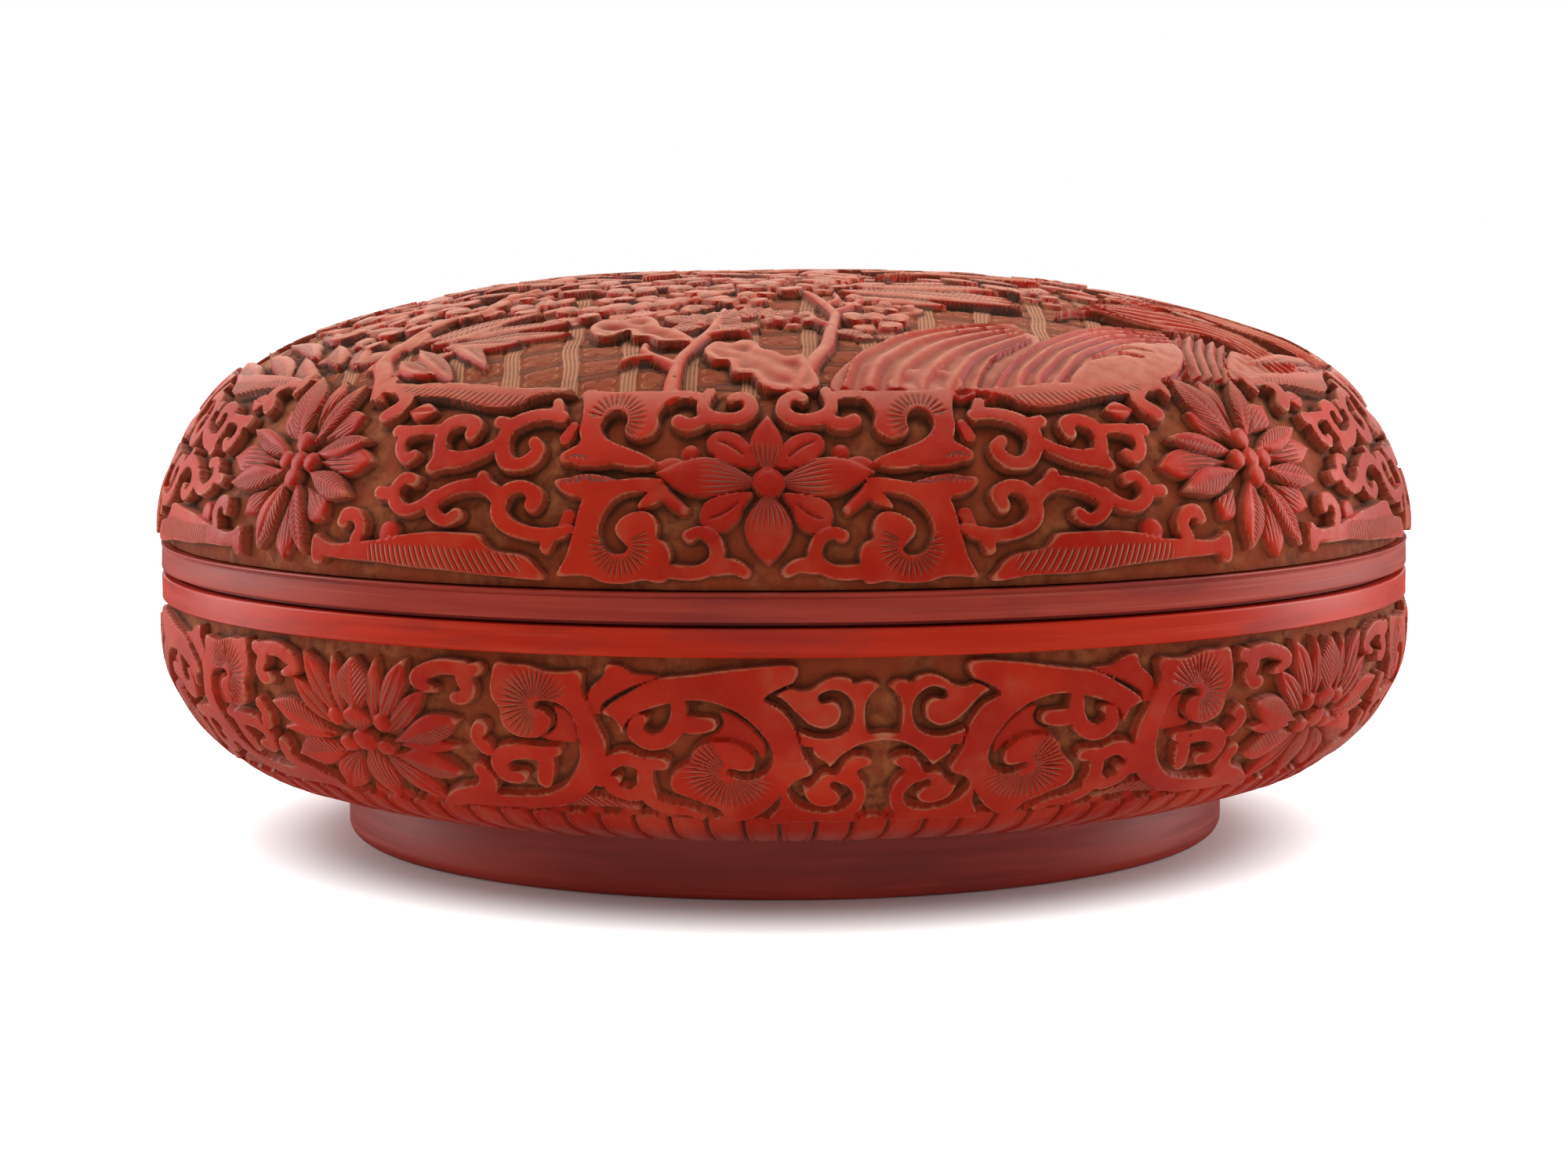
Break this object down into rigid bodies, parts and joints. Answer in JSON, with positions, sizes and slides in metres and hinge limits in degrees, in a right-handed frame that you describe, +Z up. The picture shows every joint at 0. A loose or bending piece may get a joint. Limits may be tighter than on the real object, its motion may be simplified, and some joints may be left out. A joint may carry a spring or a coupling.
{
  "type": "round lidded box",
  "caption": "Round domed box in carved red lacquer with a lift-off lid, plain mouth hoops, a locating collar and a turned foot ring.",
  "frame": {"origin": "centre of the foot ring's resting face", "axes": "+Z up along the axis the box is turned about; -Y towards the side shown in the picture"},
  "size_m": [0.2518, 0.2518, 0.1124],
  "materials": {
    "carved_lacquer": "carved cinnabar lacquer, satin on the tops, dull and dusty in the cuts",
    "hoop_lacquer": "plain red lacquer, brushed round, soft gloss",
    "foot_lacquer": "dark maroon lacquer, soft gloss with fine turning lines",
    "black_lacquer": "smooth black lacquer, worn satin gloss",
    "core_wood": "bare turned wood, covered by lacquer on every side"
  },
  "bodies": {
    "bowl": {"bowl_carved_lacquer": "carved_lacquer", "bowl_mouth_hoop": "hoop_lacquer", "bowl_wood_core": "core_wood", "bowl_black_lining": "black_lacquer", "lid_locating_collar": "black_lacquer", "foot_ring": "foot_lacquer", "foot_well_lining": "black_lacquer"},
    "lid": {"lid_carved_lacquer": "carved_lacquer", "lid_mouth_hoop": "hoop_lacquer", "lid_wood_core": "core_wood", "lid_black_lining": "black_lacquer"}
  },
  "joints": [
    {"name": "lid_lift", "type": "slide", "parent": "bowl", "child": "lid", "axis": [0, 0, 1], "range_m": [0, 0.08]}
  ]
}
